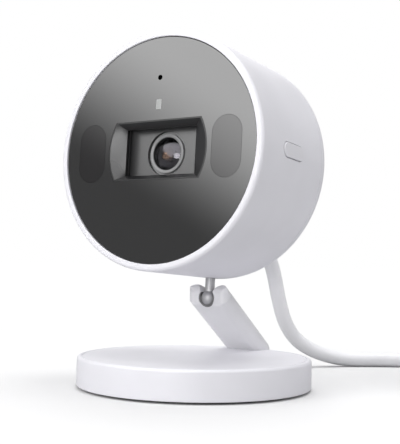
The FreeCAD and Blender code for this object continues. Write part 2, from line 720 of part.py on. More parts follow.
# ---- lead ---------------------------------------------------------------------------------------
def head_plug():
    """Moulded body of the plug, sunk in the rear pocket."""
    half_w, half_h = PLUG_W / 2, PLUG_H / 2
    body = box(-half_w, half_w, POCKET_Y + 0.8, REAR_Y + 0.2, PORT_Z - half_h, PORT_Z + half_h)
    along = [e for e in body.Edges if abs(e.tangentAt(e.FirstParameter).y) > 0.9]
    return in_head(body.makeFillet(2.2, along))


def head_plug_tip():
    return in_head(box(-4.1, 4.1, MAIN_BOARD_Y + 2.4, POCKET_Y + 0.8, PORT_Z - 1.2, PORT_Z + 1.2))


def cord_relief():
    """Tapered, bent strain relief from the plug to the start of the lead."""
    start = head_point(0, REAR_Y + 0.2, PORT_Z)
    end = V(*ROUTE[0])
    second = V(*ROUTE[1])
    leave = (second - end).normalize()
    first = math.radians(PITCH)
    last = math.atan2(-leave.z, leave.y)
    rings = []
    steps = 6
    for k in range(steps + 1):
        t = k / steps
        angle = first + (last - first) * t
        centre = relief_point(start, end, first, last, t)
        radius = 3.1 + (CORD_R - 3.1) * t
        normal = V(0, math.cos(angle), -math.sin(angle))
        rings.append(Part.Wire(Part.makeCircle(radius, centre, normal)))
    return Part.makeLoft(rings, True, False)


def relief_point(start, end, first, last, t):
    """A point on the curve that leaves start at angle first and reaches end at angle last."""
    span = (end - start).Length / 3
    a = start + V(0, math.cos(first), -math.sin(first)) * span
    b = end - V(0, math.cos(last), -math.sin(last)) * span
    return start * (1 - t) ** 3 + a * (3 * t * (1 - t) ** 2) + b * (3 * t * t * (1 - t)) + end * t ** 3


def tube(route, radius, name):
    """A round tube along straight runs joined by tangent arcs, each as large as its two runs allow."""
    points = [V(*p) for p in route]
    edges = []
    last = points[0]
    radii = []
    for before, corner, after in zip(points, points[1:], points[2:]):
        into = corner - before
        out = after - corner
        trim = 0.45 * min(into.Length, out.Length)
        turn = into.getAngle(out)
        bend = trim / math.tan(turn / 2)
        radii.append(bend)
        into.normalize()
        out.normalize()
        start = corner - into * trim
        end = corner + out * trim
        inward = (out - into).normalize()
        middle = corner + inward * (bend / math.cos(turn / 2) - bend)
        edges.append(Part.LineSegment(last, start).toShape())
        edges.append(Part.Arc(start, middle, end).toShape())
        last = end
    edges.append(Part.LineSegment(last, points[-1]).toShape())
    path = Part.Wire(edges)
    direction = (points[1] - points[0]).normalize()
    section = Part.Wire(Part.makeCircle(radius, points[0], direction))
    solid = path.makePipeShell([section], True, False)
    expected = math.pi * radius ** 2 * path.Length
    print(f"{name}: length {path.Length:.1f} mm, radii", [round(r, 1) for r in radii],
          f"volume {solid.Volume:.1f} of {expected:.1f}")
    return solid


def cord_run():
    return tube(ROUTE, CORD_R, "cord_run")


def coil_outer():
    return COIL_MID_R + COIL_COLUMNS * CORD_R


def coil_inner():
    return COIL_MID_R - COIL_COLUMNS * CORD_R


def coil_top():
    return 2 * CORD_R * COIL_LAYERS


def cord_coil():
    """The spare lead as one ring, with short stubs where the lead enters and leaves it."""
    x, y = COIL_CENTRE.x, COIL_CENTRE.y
    stub_r = CORD_R - 0.1  # a little thinner, so that no stub only touches the ring along a line
    coil = ring_z(coil_outer(), coil_inner(), 0, coil_top(), x, y)
    entry = V(*ROUTE[-1])
    coil = coil.fuse(Part.makeCylinder(stub_r, x - entry.x, entry, V(1, 0, 0)))
    leave = V(*tail_route()[0])
    step = box(leave.x, leave.x + 6, leave.y - 1.5, leave.y + 1.5, coil_top() - 1, leave.z)
    coil = coil.fuse([Part.makeCylinder(stub_r, 6, leave, V(1, 0, 0)), step]).removeSplitter()
    return coil.cut(coil_tie())


def coil_tie():
    """Strap round the coil."""
    strap_t = 0.4
    low, high, top = coil_inner(), coil_outer(), coil_top()
    near, far, over = low - strap_t, high + strap_t, top + strap_t
    outer = [(near, 0), (far, 0), (far, over), (near, over)]
    inner = [(low, strap_t), (high, strap_t), (high, top), (low, top)]
    faces = []
    for outline in (outer, inner):
        points = [V(r, 0, z) for r, z in outline]
        faces.append(Part.Face(Part.makePolygon(points + [points[0]])))
    strap = faces[0].cut(faces[1]).revolve(V(0, 0, 0), V(0, 0, 1), 18)
    strap.rotate(V(0, 0, 0), V(0, 0, 1), -9)
    strap.translate(V(COIL_CENTRE.x, COIL_CENTRE.y, 0))
    return strap


def tail_route():
    """Over the coil's top: from its front, round to the left, and rearward to the plug."""
    top = coil_top() + CORD_R
    cx, cy = COIL_CENTRE.x, COIL_CENTRE.y - COIL_MID_R + TAIL_R
    route = []
    reach = TAIL_R / math.cos(math.radians(11.25))
    route.append((cx + 5, cy - TAIL_R, top))
    for k in range(4):
        a = math.radians(-90 - 11.25 - 22.5 * k)
        route.append((cx + reach * math.cos(a), cy + reach * math.sin(a), top + TAIL_RISE * k / 3))
    route.append((cx - TAIL_R, cy + TAIL_STRAIGHT, top + TAIL_RISE))
    return route


def cord_tail():
    return tube(tail_route(), CORD_R, "cord_tail")


def usb_plug_body():
    x, y, z = tail_route()[-1]
    relief = Part.makeCone(CORD_R, 3.2, 7, V(x, y, z), V(0, 1, 0))
    body = box(x - 7.6, x + 7.6, y + 6.5, y + PLUG_BODY_END, z - 3.6, z + 3.6)
    along = [e for e in body.Edges if abs(e.tangentAt(e.FirstParameter).y) > 0.9]
    return body.makeFillet(2.0, along).fuse(relief).removeSplitter()


def usb_plug_shell():
    x, y, z = tail_route()[-1]
    y += PLUG_BODY_END
    shell = box(x - 6, x + 6, y, y + PLUG_SHELL, z - 2.25, z + 2.25)
    shell = shell.cut(box(x - 5.7, x + 5.7, y + 1, y + PLUG_SHELL + 1, z - 1.95, z + 1.95))
    tongue = box(x - 5.7, x + 5.7, y + 0.5, y + PLUG_SHELL - 1, z + 0.2, z + 1.95)
    shell = shell.fuse(tongue).removeSplitter()
    for side in (-1, 1):
        latch = x + side * 2.9
        shell = shell.cut(box(latch - 1, latch + 1, y + 4, y + 6.2, z - 3, z - 1.5))
    return shell


# ---- all sub-parts ------------------------------------------------------------------------------
HEAD_NODES = {
    "housing_sleeve": housing_sleeve, "rear_cover": rear_cover, "face_panel": face_panel,
    "ir_window_left": lambda: ir_window(-1), "ir_window_right": lambda: ir_window(1),
    "window_bezel": window_bezel, "shutter_blade": shutter_blade, "shutter_magnet": shutter_magnet,
    "shutter_guide": shutter_guide, "shutter_coil": shutter_coil, "chassis": chassis,
    "lens_plate": lens_plate, "lens_ring": lens_ring, "lens_barrel": lens_barrel,
    "lens_glass": lens_glass, "rear_element": rear_element, "ir_cut_filter": ir_cut_filter,
    "lens_holder": lens_holder, "image_sensor": image_sensor, "sensor_board": sensor_board,
    "front_board": front_board, "ir_leds": ir_leds, "microphone": microphone,
    "mic_gasket": mic_gasket, "light_pipe": light_pipe, "status_led": status_led,
    "main_board": main_board, "processor_chip": processor_chip,
    "wifi_shield": wifi_shield, "heat_spreader": heat_spreader, "antenna": antenna,
    "speaker": speaker, "speaker_gasket": speaker_gasket, "usb_socket": usb_socket,
    "rear_screws": rear_screws, "side_button": side_button, "button_switch": button_switch,
    "button_board": button_board, "stem_mount": stem_mount, "stem_bush": stem_bush,
    "stem_clip": stem_clip, "stem": stem,
}
OTHER_NODES = {
    "ball": ball, "stand_arm": stand_arm, "socket_insert": socket_insert, "base_cover": base_cover,
    "ballast_plate": ballast_plate, "base_plate": base_plate, "foot_ring": foot_ring,
    "base_screws": base_screws, "arm_screws": arm_screws, "head_plug": head_plug,
    "head_plug_tip": head_plug_tip, "cord_relief": cord_relief, "cord_run": cord_run,
    "cord_coil": cord_coil, "coil_tie": coil_tie, "cord_tail": cord_tail,
    "usb_plug_body": usb_plug_body, "usb_plug_shell": usb_plug_shell,
}


def save(name, shape):
    solids = shape.Solids
    if not solids or not all(s.isValid() for s in solids):
        print("NOT SOUND:", name, len(solids))
    result = solids[0] if len(solids) == 1 else Part.makeCompound(solids)
    result.exportStep(os.path.join("parts", name + ".step"))
    size = result.BoundBox
    print(f"{name}: {len(solids)} solid(s), {result.Volume:.1f} mm3, "
          f"z {size.ZMin:.2f} to {size.ZMax:.2f}")


def main():
    os.makedirs("parts", exist_ok=True)
    for name, make in HEAD_NODES.items():
        save(name, in_head(make()))
    for name, make in OTHER_NODES.items():
        save(name, make())


main()
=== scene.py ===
"""Looks of the indoor security camera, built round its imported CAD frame.

Everything is in metres in the shared frame: +Z up, the security camera looks along -Y and the origin
is the centre of the base's underside. The view and the lead come first, then the small pieces that
are made here, the materials, and last the floor and the lights.
"""

import json
import math

import bmesh
import bpy
from mathutils import Matrix, Vector


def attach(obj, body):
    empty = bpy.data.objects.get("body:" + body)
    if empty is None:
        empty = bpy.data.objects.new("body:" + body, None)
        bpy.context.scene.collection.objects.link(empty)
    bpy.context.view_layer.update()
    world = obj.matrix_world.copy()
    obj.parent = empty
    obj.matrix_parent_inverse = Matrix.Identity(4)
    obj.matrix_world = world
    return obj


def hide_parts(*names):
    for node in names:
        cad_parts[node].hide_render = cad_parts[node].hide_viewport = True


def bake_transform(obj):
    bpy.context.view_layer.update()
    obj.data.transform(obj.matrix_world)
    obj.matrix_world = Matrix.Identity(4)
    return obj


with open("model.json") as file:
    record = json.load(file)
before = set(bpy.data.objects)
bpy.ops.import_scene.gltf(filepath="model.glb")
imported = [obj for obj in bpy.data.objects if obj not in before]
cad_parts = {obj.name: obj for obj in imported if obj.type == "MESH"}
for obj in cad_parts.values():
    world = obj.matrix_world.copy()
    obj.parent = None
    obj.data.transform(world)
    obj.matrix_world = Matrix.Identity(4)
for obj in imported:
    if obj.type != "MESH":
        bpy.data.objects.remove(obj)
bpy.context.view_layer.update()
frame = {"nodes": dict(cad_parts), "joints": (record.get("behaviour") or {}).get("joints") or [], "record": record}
nodes = frame["nodes"]

MM = 0.001
PAN = next(joint for joint in frame["joints"] if joint["name"] == "head_pan")
BALL = Vector(PAN["pos_m"])
HEAD_UP = Vector(PAN["axis"])
PITCH = math.atan2(HEAD_UP.y, HEAD_UP.z)  # the face looks up by this much
FACE_AHEAD = 30.43 * MM                   # from the stem's axis forward to the face
HEAD_LIFT = 38.41 * MM                    # from the ball up to the head's axis
# The head's own frame: face centre at the origin, +Y to the rear and +Z up.
HEAD = (Matrix.Translation(BALL) @ Matrix.Rotation(-PITCH, 4, "X")
        @ Matrix.Translation((0, -FACE_AHEAD, HEAD_LIFT)))
FACE = HEAD.translation                   # centre of the face


# ---- helpers ------------------------------------------------------------------------------------
def add_object(name, bm):
    """Makes an object of the shape in bm, which is then freed, and puts it into the scene."""
    mesh = bpy.data.meshes.new(name)
    bm.to_mesh(mesh)
    bm.free()
    obj = bpy.data.objects.new(name, mesh)
    bpy.context.scene.collection.objects.link(obj)
    return obj


def skin(bm, rings, smooth=True):
    """Faces from each ring of points to the next; a ring may be a single point."""
    for first, second in zip(rings, rings[1:]):
        count = max(len(first), len(second))
        for k in range(count):
            n = (k + 1) % count
            corners = [first[k % len(first)], first[n % len(first)],
                       second[n % len(second)], second[k % len(second)]]
            face = bm.faces.new(list(dict.fromkeys(corners)))
            face.smooth = smooth


# ---- view ---------------------------------------------------------------------------------------
AZIMUTH = math.radians(33.0)      # the view is from this far round, away from straight ahead
DISTANCE = 255.8 * MM             # level distance from the axis through the origin
CAMERA_HEIGHT = 35.3 * MM
YAW = math.radians(-0.20)         # the aim is turned away from that axis by this,
TIP = math.radians(2.55)          # tipped up from level by this
ROLL = math.radians(-1.07)        # and rolled by this
FOCAL_LENGTH = 72.8               # in millimetres, on a sensor 36 mm wide


def make_camera():
    """The main view's camera."""
    data = bpy.data.cameras.new("camera")
    data.lens = FOCAL_LENGTH
    data.clip_start = 0.01
    data.clip_end = 50
    camera = bpy.data.objects.new("camera", data)
    bpy.context.scene.collection.objects.link(camera)
    round_z = Matrix.Rotation(AZIMUTH, 4, "Z")
    place = round_z @ Vector((0, -DISTANCE, CAMERA_HEIGHT))
    aim = (round_z @ Matrix.Rotation(YAW, 4, "Z") @ Matrix.Rotation(TIP, 4, "X")
           @ Matrix.Rotation(ROLL, 4, "Y"))
    upright = Matrix.Rotation(math.radians(90), 4, "X")
    camera.matrix_world = Matrix.Translation(place) @ aim @ upright
    bpy.context.scene.camera = camera


make_camera()


# ---- lead ---------------------------------------------------------------------------------------
CORD_WIDTH = 4.8                  # in millimetres, like the route, the coil and the tail below
CORD_R = CORD_WIDTH / 2 * MM
PAN_SPAN = 32.0 * MM              # length of the span meant to bend as the head turns
TILT_SPAN = 33.0 * MM             # and of the next one, meant to bend as it tilts
# Route of the lead from its strain relief to the coil: down behind the head, then along the table.
ROUTE = [
    (0.0, 28.8, 47.0), (0.0, 36.1, 43.7), (0.0, 42.4, 38.7), (0.0, 47.1, 32.2), (0.0, 50.8, 22.8),
    (0.3, 54.9, 15.3), (1.5, 60.8, 9.3), (5.0, 68.5, 5.0), (11.6, 76.4, 2.4), (20.6, 83.9, 2.4),
    (30.6, 90.6, 2.4), (41.0, 95.4, 2.4), (50.0, 97.8, 2.4), (57.0, 97.8, 2.4), (68.0, 97.8, 2.4),
]
COIL_X = 78.0                     # centre of the coil
COIL_Y = 65.0
COIL_MID_R = 28.0                 # radius of the middle one of the coil's three rings
COIL_LAYERS = 3
TURNS = 8.5
TURN_POINTS = 20                  # control points in each turn of the coil
SHIFT = 0.13                      # share of a turn that a step to the next turn or layer takes
# Steps of the winding: where each starts in turns, what it adds to the radius and to the height.
STEPS = [
    (1 - SHIFT, -CORD_WIDTH, 0), (2 - SHIFT, -CORD_WIDTH, 0), (3 - 2 * SHIFT, 0, CORD_WIDTH),
    (4 - 3 * SHIFT, CORD_WIDTH, 0), (5 - 3 * SHIFT, CORD_WIDTH, 0), (6 - 4 * SHIFT, 0, CORD_WIDTH),
    (7 - 5 * SHIFT, -CORD_WIDTH, 0), (8 - 5 * SHIFT, -CORD_WIDTH, 0), (8.06, 0, CORD_WIDTH),
    (8.26, CORD_WIDTH, 0),
]
TAIL_R = 22.0                     # the last bend, on top of the coil, that leads to the plug
TAIL_Y = COIL_Y - COIL_MID_R + TAIL_R
TAIL_TURN = 22.5                  # degrees between the control points of that bend
TAIL_STRAIGHT = 3.8
TAIL_RISE = 1.2                   # the plug is thicker than the lead, so the lead rises to it


def smooth(t):
    """A soft step from 0 to 1, level before t is 0 and after it is 1."""
    t = min(1.0, max(0.0, t))
    return t * t * (3 - 2 * t)


def coil_points():
    """The coil's turns, clockwise seen from above, each beside or on top of the one before."""
    points = []
    spread = 1 / math.cos(math.pi / TURN_POINTS)  # the spline runs inside its control points
    for i in range(int(TURNS * TURN_POINTS)):
        turn = (i + 0.5) / TURN_POINTS
        radius = COIL_MID_R + CORD_WIDTH
        height = CORD_WIDTH / 2
        for start, outward, upward in STEPS:
            done = smooth((turn - start) / SHIFT)
            radius += outward * done
            height += upward * done
        angle = math.pi / 2 - 2 * math.pi * turn
        x = COIL_X + spread * radius * math.cos(angle)
        y = COIL_Y + spread * radius * math.sin(angle)
        points.append((x, y, height))
    return points


def tail_points():
    """From the top of the coil round to the left, and rearward to the plug."""
    points = []
    reach = TAIL_R / math.cos(math.radians(TAIL_TURN / 2))
    top = CORD_WIDTH * (COIL_LAYERS + 0.5)
    for k in range(4):
        angle = math.radians(-90 - TAIL_TURN * (k + 0.5))
        height = top + TAIL_RISE * k / 3
        points.append((COIL_X + reach * math.cos(angle), TAIL_Y + reach * math.sin(angle), height))
    points.append((COIL_X - TAIL_R, TAIL_Y + TAIL_STRAIGHT, top + TAIL_RISE))
    return points


def spline_points(points):
    """The line of the NURBS spline with these control points, given in millimetres."""
    curve = bpy.data.curves.new("lead_line", "CURVE")
    curve.dimensions = "3D"
    curve.resolution_u = 8
    spline = curve.splines.new("NURBS")
    spline.points.add(len(points) - 1)
    for place, point in zip(spline.points, points):
        place.co = (*(Vector(point) * MM), 1)
    spline.order_u = 3
    spline.use_endpoint_u = True
    holder = bpy.data.objects.new("lead_line", curve)
    mesh = bpy.data.meshes.new_from_object(holder)
    line = [v.co.copy() for v in mesh.vertices]
    bpy.data.meshes.remove(mesh)
    bpy.data.objects.remove(holder)
    bpy.data.curves.remove(curve)
    return line


def sides_of(line):
    """Two directions across the line at each of its points, turning as little as they can."""
    across = []
    side = Vector((1, 0, 0))
    for i in range(len(line)):
        ahead = (line[min(i + 1, len(line) - 1)] - line[max(i - 1, 0)]).normalized()
        side = (side - ahead * side.dot(ahead)).normalized()
        across.append((side.copy(), ahead.cross(side)))
    return across


def lengths_along(line):
    """The length of the line up to each of its points."""
    total = [0.0]
    for a, b in zip(line, line[1:]):
        total.append(total[-1] + (b - a).length)
    return total


def tube(name, line, across, radii, segments=20):
    """A closed round tube along line; radii gives its radius at each point."""
    bm = bmesh.new()
    rings = []
    for point, (u, v), radius in zip(line, across, radii):
        ring = []
        for k in range(segments):
            a = 2 * math.pi * k / segments
            ring.append(bm.verts.new(point + (u * math.cos(a) + v * math.sin(a)) * radius))
        rings.append(ring)
    skin(bm, rings)
    for cap in (bm.faces.new(rings[0][::-1]), bm.faces.new(rings[-1])):
        for edge in cap.edges:
            edge.smooth = False
    return add_object(name, bm)


LEAD_LINE = spline_points(ROUTE + coil_points() + tail_points())
LEAD_ACROSS = sides_of(LEAD_LINE)
LEAD_ALONG = lengths_along(LEAD_LINE)


def lead_span(name, start, end):
    """The part of the lead between two lengths along it, and the line that it follows."""
    slack = 0.001 * MM
    chosen = [i for i, along in enumerate(LEAD_ALONG) if start - slack <= along <= end + slack]
    line = [LEAD_LINE[i] for i in chosen]
    piece = tube(name, line, [LEAD_ACROSS[i] for i in chosen], [CORD_R] * len(line))
    return piece, line


def nearest_length(wanted):
    """The length along the lead, at one of its points, that is nearest to the wanted one."""
    return min(LEAD_ALONG, key=lambda length: abs(length - wanted))


PORT_Z = -13.0 * MM               # height of the lead's socket, from the head's axis
PLUG_BACK = 38.6 * MM             # from the face back to the start of the strain relief
RELIEF_R = 3.1 * MM               # radius of the strain relief at the plug
RELIEF_END_R = CORD_R * 1.02      # and at its end, a little thicker than the lead
RELIEF_STEPS = 72
RIBS = 6
GROOVE = 0.35 * MM                # depth of the grooves between the ribs
GROOVE_SHARE = 0.45               # share of each rib's pitch that its groove takes


def relief_line():
    """The curve from the head's plug to the start of the lead, leaving each along its own direction."""
    start = HEAD @ Vector((0, PLUG_BACK, PORT_Z))
    end = LEAD_LINE[0]
    leave = HEAD.to_3x3() @ Vector((0, 1, 0))
    arrive = (LEAD_LINE[1] - LEAD_LINE[0]).normalized()
    reach = (end - start).length / 3
    after_start = start + leave * reach
    before_end = end - arrive * reach
    line = []
    for i in range(RELIEF_STEPS + 1):
        t = i / RELIEF_STEPS
        ends = start * (1 - t) ** 3 + end * t ** 3
        line.append(ends + after_start * (3 * t * (1 - t) ** 2) + before_end * (3 * t * t * (1 - t)))
    return line


def make_relief():
    """Strain relief: a taper with ribs round it, from the plug's body down to the lead."""
    line = relief_line()
    radii = []
    for i in range(len(line)):
        t = i / (len(line) - 1)
        taper = RELIEF_R + (RELIEF_END_R - RELIEF_R) * t
        pitches = t * (RIBS + 1)
        between_ends = 0.5 < pitches < RIBS + 0.5
        inside_groove = between_ends and pitches % 1 > 1 - GROOVE_SHARE
        radii.append(taper - (GROOVE if inside_groove else 0))
    relief = tube("ribbed_relief", line, sides_of(line), radii, segments=32)
    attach(relief, "head")
    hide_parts("cord_relief")
    return relief


def make_lead():
    """The lead in three pieces, cut at the ends of the pan span and the tilt span."""
    first = nearest_length(PAN_SPAN)
    second = nearest_length(PAN_SPAN + TILT_SPAN)
    upper, upper_line = lead_span("lead_upper", 0, first)
    middle, middle_line = lead_span("lead_middle", first, second)
    lower, lower_line = lead_span("lead_lower", second, LEAD_ALONG[-1])
    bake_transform(upper)
    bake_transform(middle)
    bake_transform(lower)
    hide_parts("cord_run", "cord_coil", "cord_tail")
    return [upper, middle, lower]


RELIEF = make_relief()
LEAD = make_lead()


# ---- small pieces of the face -------------------------------------------------------------------
# Their outlines are in millimetres, with y as the distance behind the face.
LENS_Z = -0.3 * MM                # height of the lens, from the head's axis
LIGHT_Z = 12.25 * MM              # and of the status light
LENS_R = 4.35                     # half the width of the front element
LENS_CURVES = (9.0, 8.2)          # radii of its outer and its inner surface
LENS_MIDDLES = (4.35, 4.85)       # how far behind the face their middles are
SECOND_R = 2.0                    # half the width of the second element
SECOND_CURVE = -3.0               # radius of its hollow front
SECOND_MIDDLE = 6.5
SECOND_BACK = 7.6
SHARP_EDGE = math.radians(35)     # an edge that turns further than this isn't shaded smooth


def turned(name, outline, segments=96):
    """A body turned about the lens's axis; outline gives (radius, y)."""
    bm = bmesh.new()
    rings = []
    for radius, y in outline:
        centre = Vector((0, y * MM, LENS_Z))
        if radius == 0:
            rings.append([bm.verts.new(HEAD @ centre)])
            continue
        ring = []
        for k in range(segments):
            a = 2 * math.pi * k / segments
            offset = Vector((math.cos(a), 0, math.sin(a))) * radius * MM
            ring.append(bm.verts.new(HEAD @ (centre + offset)))
        rings.append(ring)
    skin(bm, rings)
    bmesh.ops.recalc_face_normals(bm, faces=bm.faces)
    for edge in bm.edges:
        if edge.is_manifold and edge.calc_face_angle() > SHARP_EDGE:
            edge.smooth = False
    piece = add_object(name, bm)
    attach(piece, "head")
    return piece


def dome(curve, radius, middle, steps=16):
    """Outline of a dome from its middle out to its edge; a negative curve makes it hollow."""
    outline = []
    for i in range(steps + 1):
        r = radius * i / steps
        outline.append((r, middle + curve - math.copysign(math.sqrt(curve * curve - r * r), curve)))
    return outline


def make_lens():
    """The front element, the small second one that shows a warm glint, and what is round them."""
    outer = dome(LENS_CURVES[0], LENS_R, LENS_MIDDLES[0])
    inner = dome(LENS_CURVES[1], LENS_R, LENS_MIDDLES[1])
    front = turned("front_element", outer + inner[::-1])
    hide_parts("lens_glass")
    hollow = dome(SECOND_CURVE, SECOND_R, SECOND_MIDDLE)
    second = turned("second_element", hollow + [(SECOND_R, SECOND_BACK), (0, SECOND_BACK)],
                    segments=64)
    # From the bore over the sloping face to the groove round it, and back behind the groove's floor.
    ring = [(4.56, 5.7), (4.56, 5.1), (4.66, 5.0), (5.3, 4.88), (5.42, 4.93), (5.46, 5.05),
            (5.46, 5.8), (6.1, 5.8), (6.1, 6.1), (4.9, 6.1), (4.56, 5.7)]
    trim = turned("lens_trim", ring)
    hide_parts("lens_ring")
    funnel = [(4.2, 5.95), (2.1, 7.2), (2.1, 7.7), (4.2, 6.45), (4.2, 5.95)]
    baffle = turned("lens_baffle", funnel)
    return {front: "lens_glass", second: "lens_glass", baffle: "lens_black", trim: "ring_metal"}


def rounded_rectangle(half_w, half_h, corner, steps=6):
    """Points (x, z) round an upright rectangle with rounded corners."""
    outline = []
    for x, z, start in ((1, 1, 0), (-1, 1, 90), (-1, -1, 180), (1, -1, 270)):
        for k in range(steps + 1):
            a = math.radians(start + 90 * k / steps)
            outline.append((x * (half_w - corner) + corner * math.cos(a),
                            z * (half_h - corner) + corner * math.sin(a)))
    return outline


def make_light_window():
    """The face of the status light's pipe: a small upright rectangle with rounded corners."""
    outline = rounded_rectangle(0.85 * MM, 1.4 * MM, 0.3 * MM)
    centre = Vector((0, 0, LIGHT_Z))
    bm = bmesh.new()
    rings = []
    # From its back to the face, and on to a narrower front that stands a little proud.
    for y, inset in ((1.0, 0), (0.02, 0), (-0.03, 0.05)):
        ring = []
        for x, z in outline:
            out = Vector((x, 0, z))
            place = centre + out - out.normalized() * inset * MM
            place.y = y * MM
            ring.append(bm.verts.new(HEAD @ place))
        rings.append(ring)
    skin(bm, rings, smooth=False)
    bm.faces.new(rings[0])
    bm.faces.new(rings[-1])
    bmesh.ops.recalc_face_normals(bm, faces=bm.faces)
    piece = add_object("light_window", bm)
    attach(piece, "head")
    return piece


DETAILS = make_lens()             # each small piece with its slot
DETAILS[make_light_window()] = "clear_plastic"


# ---- materials ----------------------------------------------------------------------------------
# Where a noise or a pattern becomes a roughness or a colour, start and end are the pattern's values
# at which the change begins and is complete.
def new_material(name, colour, roughness, metallic=0.0, ior=1.5):
    """A principled material with one colour, its node tree and its shader, for work that follows."""
    material = bpy.data.materials.new(name)
    material.use_nodes = True
    shader = material.node_tree.nodes["Principled BSDF"]
    shader.inputs["Base Color"].default_value = (*colour, 1)
    shader.inputs["Roughness"].default_value = roughness
    shader.inputs["Metallic"].default_value = metallic
    shader.inputs["IOR"].default_value = ior
    return material, material.node_tree, shader


def place_of(tree, stretch=(1, 1, 1)):
    """The point of the surface in metres, stretched for grain that runs one way."""
    coordinates = tree.nodes.new("ShaderNodeTexCoord")
    mapping = tree.nodes.new("ShaderNodeMapping")
    mapping.inputs["Scale"].default_value = stretch
    tree.links.new(coordinates.outputs["Object"], mapping.inputs["Vector"])
    return mapping.outputs["Vector"]


def noise(tree, place, size, detail=3.0, rough=0.5):
    """Noise whose features are about size metres across."""
    texture = tree.nodes.new("ShaderNodeTexNoise")
    texture.inputs["Scale"].default_value = 1 / size
    texture.inputs["Detail"].default_value = detail
    texture.inputs["Roughness"].default_value = rough
    tree.links.new(place, texture.inputs["Vector"])
    return texture.outputs["Fac"]


def bump(tree, shader, height, depth):
    """Relief of depth metres where height is 1."""
    node = tree.nodes.new("ShaderNodeBump")
    node.inputs["Strength"].default_value = 1.0
    node.inputs["Distance"].default_value = depth
    tree.links.new(height, node.inputs["Height"])
    tree.links.new(node.outputs["Normal"], shader.inputs["Normal"])


def between(tree, value, low, high, start=0.3, end=0.7):
    """A number that goes from low to high as value goes from start to end."""
    node = tree.nodes.new("ShaderNodeMapRange")
    node.inputs["From Min"].default_value = start
    node.inputs["From Max"].default_value = end
    node.inputs["To Min"].default_value = low
    node.inputs["To Max"].default_value = high
    tree.links.new(value, node.inputs["Value"])
    return node.outputs["Result"]


def colours_between(tree, value, first, second, start=0.3, end=0.7):
    """A colour that goes from first to second as value goes from start to end."""
    ramp = tree.nodes.new("ShaderNodeValToRGB")
    ramp.color_ramp.elements[0].position = start
    ramp.color_ramp.elements[0].color = (*first, 1)
    ramp.color_ramp.elements[1].position = end
    ramp.color_ramp.elements[1].color = (*second, 1)
    tree.links.new(value, ramp.inputs["Fac"])
    return ramp.outputs["Color"]


def tint(colour, factor):
    return tuple(part * factor for part in colour)


def colour_mix(tree, amount):
    """A node that goes from colour A to colour B with amount."""
    mix = tree.nodes.new("ShaderNodeMix")
    mix.data_type = "RGBA"
    tree.links.new(amount, mix.inputs["Factor"])
    return mix


def moulded(name, colour, roughness, grain=0.25 * MM, depth=0.006 * MM, mottle=0.02, ior=1.5):
    """Moulded plastic: fine spark-eroded grain, slow flow marks and slightly uneven gloss."""
    material, tree, shader = new_material(name, colour, roughness, ior=ior)
    place = place_of(tree)
    fine = noise(tree, place, grain, detail=4.0, rough=0.6)
    slow = noise(tree, place, 14 * MM, detail=2.0)
    tree.links.new(colours_between(tree, slow, tint(colour, 1 - mottle), tint(colour, 1 + mottle)),
                   shader.inputs["Base Color"])
    tree.links.new(between(tree, slow, roughness - 0.03, roughness + 0.03), shader.inputs["Roughness"])
    bump(tree, shader, fine, depth)
    return material


def polished(name, colour, ior, roughness=0.05, smear=0.025):
    """Polished dark plastic, with the faint smears and dust that a clean one still has."""
    material, tree, shader = new_material(name, colour, roughness, ior=ior)
    place = place_of(tree, (1, 1, 0.35))
    smears = noise(tree, place, 11 * MM, detail=4.0, rough=0.6)
    tree.links.new(between(tree, smears, roughness, roughness + smear, start=0.45, end=0.75),
                   shader.inputs["Roughness"])
    dust = noise(tree, place_of(tree), 0.6 * MM, detail=2.0)
    specks = colour_mix(tree, between(tree, dust, 0.0, 1.0, start=0.76, end=0.82))
    specks.inputs["A"].default_value = (*colour, 1)
    specks.inputs["B"].default_value = (*tint(colour, 2.2), 1)
    tree.links.new(specks.outputs["Result"], shader.inputs["Base Color"])
    ripple = noise(tree, place_of(tree), 18 * MM, detail=1.0)
    bump(tree, shader, ripple, 0.004 * MM)
    return material


def metal(name, colour, roughness, stretch=(1, 1, 12), scratch=0.5 * MM, depth=0.004 * MM):
    """Turned or drawn metal: fine lines along one way and a little uneven sheen."""
    material, tree, shader = new_material(name, colour, roughness, metallic=1.0)
    lines = noise(tree, place_of(tree, stretch), scratch, detail=5.0, rough=0.7)
    tree.links.new(between(tree, lines, roughness - 0.08, roughness + 0.1), shader.inputs["Roughness"])
    tree.links.new(colours_between(tree, lines, tint(colour, 0.86), tint(colour, 1.06)),
                   shader.inputs["Base Color"])
    bump(tree, shader, lines, depth)
    return material


def rubber(name, colour, roughness=0.6, grain=0.4 * MM):
    """Rubber or foam: an uneven, open grain."""
    material, tree, shader = new_material(name, colour, roughness)
    place = place_of(tree)
    fine = noise(tree, place, grain, rough=0.6)
    slow = noise(tree, place, 6 * MM, detail=2.0)
    tree.links.new(colours_between(tree, slow, tint(colour, 0.94), tint(colour, 1.06)),
                   shader.inputs["Base Color"])
    tree.links.new(between(tree, fine, roughness - 0.08, roughness + 0.08), shader.inputs["Roughness"])
    bump(tree, shader, fine, 0.02 * MM)
    return material


def glass(name, colour, ior=1.45, reflection=(0.95, 0.92, 1.0)):
    """Optical glass; reflection is the tint of the light that its coating sends back."""
    material, tree, shader = new_material(name, colour, 0.0, ior=ior)
    shader.inputs["Transmission Weight"].default_value = 1.0
    shader.inputs["Specular Tint"].default_value = (*reflection, 1)
    haze = noise(tree, place_of(tree), 2.5 * MM)
    tree.links.new(between(tree, haze, 0.0, 0.02, start=0.55, end=0.8), shader.inputs["Roughness"])
    return material


